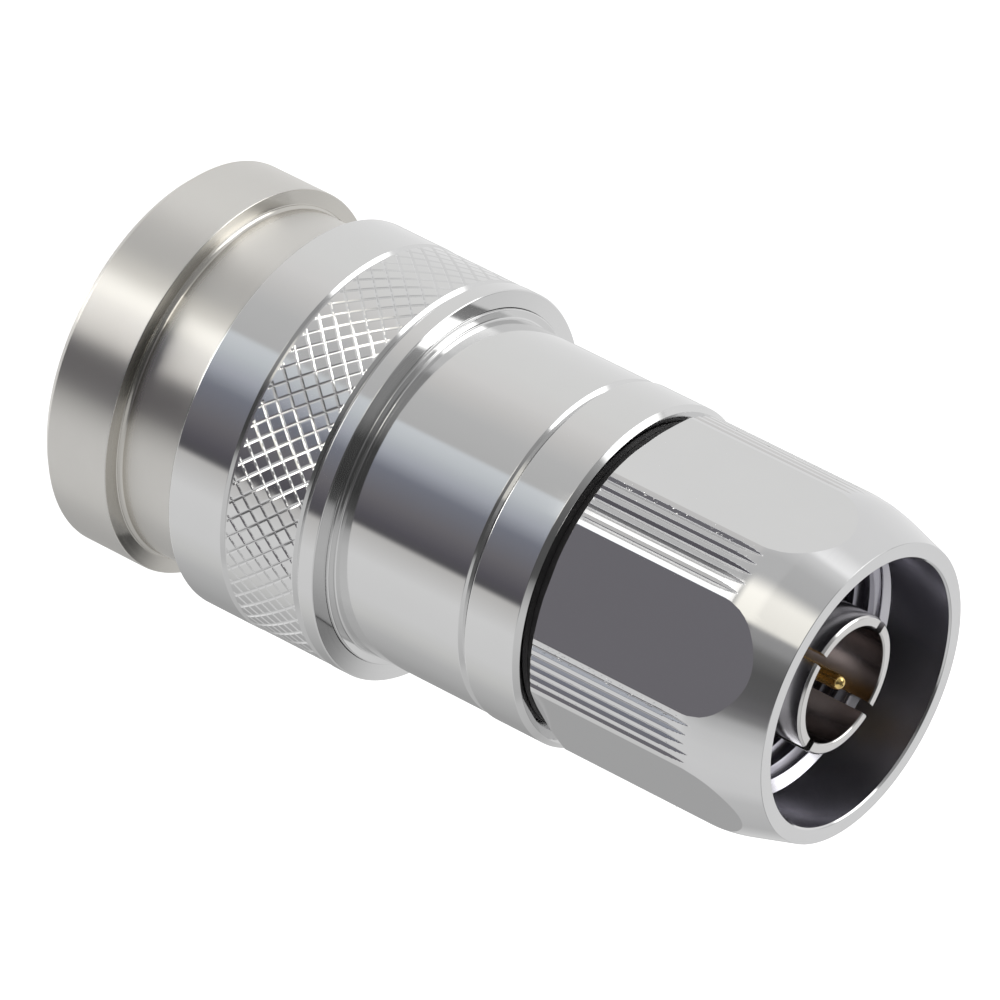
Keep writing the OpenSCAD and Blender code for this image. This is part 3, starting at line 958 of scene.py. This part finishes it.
    def lamp(total, a, e, color):
        m = math_node(nt, "MULTIPLY", window(deg, *a), window(el, *e))
        c = nt.nodes.new("ShaderNodeMix")
        c.data_type = "RGBA"
        c.blend_type = "ADD"
        nt.links.new(m, c.inputs[0])
        nt.links.new(total, c.inputs[6])
        c.inputs[7].default_value = (*color, 1)
        return c.outputs[2]

    col = blend(el, -44, -36, bottom, low)
    col = blend(el, -28, -23, col, mid)
    col = blend(el, -0.5, 4, col, mid2)
    # strip lamps: one left of the camera, one behind and below the part, one further round and higher
    col = lamp(col, (-129, -116, -100, -96), (-23, -15, -2, 20), (0.80, 0.77, 0.68))
    col = lamp(col, (-176, -168, -160, -154), (-4, 0, 6, 12), (0.32, 0.32, 0.32))
    col = lamp(col, (-122, -110, -75, -66), (-90, -84, -47, -39), (3.3, 3.25, 3.12))
    col = blend(el, 27, 33, col, high)
    col = mix_rgb(nt, math_node(nt, "MULTIPLY", window(deg, -152, -146, -52, -46), window(el, 16, 21, 60, 70)), col, high)
    col = lamp(col, (148, 156, 179.9, 180), (24, 29, 48, 58), (1.9, 1.9, 1.88))
    col = lamp(col, (-180, -179.9, -172, -166), (24, 29, 48, 58), (1.9, 1.9, 1.88))
    col = blend(el, 56, 72, col, (0.10, 0.10, 0.10))
    nt.links.new(col, bg.inputs[0])
    bg.inputs[1].default_value = 1.0

    # small strip lamp beside the coupling nut
    la = bpy.data.lights.new("strip", "AREA")
    la.shape = "RECTANGLE"
    la.size, la.size_y = 0.017, 0.0195
    la.energy = 0.00088
    la.color = (1.0, 0.98, 0.94)
    lo = bpy.data.objects.new("strip", la)
    sc.collection.objects.link(lo)
    lo.location = (0.06 * math.cos(-109 * RAD), 0.06 * math.sin(-109 * RAD), 0.01575)
    lo.rotation_euler = (Vector((0, 0, 0.01575)) - lo.location).to_track_quat("-Z", "Y").to_euler()
    lo.visible_camera = False

    # floor
    s = 3.0
    me = bpy.data.meshes.new("floor")
    k = 12
    V = [(-s + 2 * s * i / k, -s + 2 * s * j / k, 0) for i in range(k + 1) for j in range(k + 1)]
    Fc = [(i * (k + 1) + j, (i + 1) * (k + 1) + j, (i + 1) * (k + 1) + j + 1, i * (k + 1) + j + 1) for i in range(k) for j in range(k)]
    me.from_pydata(V, [], Fc)
    fl = bpy.data.objects.new("floor", me)
    sc.collection.objects.link(fl)
    mat = bpy.data.materials.new("floor")
    nt, bs = nodes_of(mat)
    bs.inputs["Base Color"].default_value = (0.5, 0.5, 0.5, 1)
    bs.inputs["Roughness"].default_value = 0.9
    bs.inputs["Specular IOR Level"].default_value = 0.0
    bs.inputs["Emission Color"].default_value = (1, 1, 1, 1)
    bs.inputs["Emission Strength"].default_value = 1.0
    me.materials.append(mat)
    fl.visible_glossy = False
    fl.visible_shadow = False
    fl.visible_transmission = False

    cam = bpy.data.cameras.new("camera")
    cam.sensor_width = 36.0
    cam.lens = 418.04
    cam.clip_start = 0.01
    cam.clip_end = 20
    co = bpy.data.objects.new("camera", cam)
    sc.collection.objects.link(co)
    x = Vector((-0.44853, 0.43670, 0.77982))
    y = Vector((-0.89377, -0.22008, -0.39082))
    z = Vector((0.00095, -0.87227, 0.48902))
    m = Matrix((x, y, z)).transposed().to_4x4()
    m.translation = Vector((0.0, -0.57016, 0.34309))
    co.matrix_world = m
    sc.camera = co


studio()
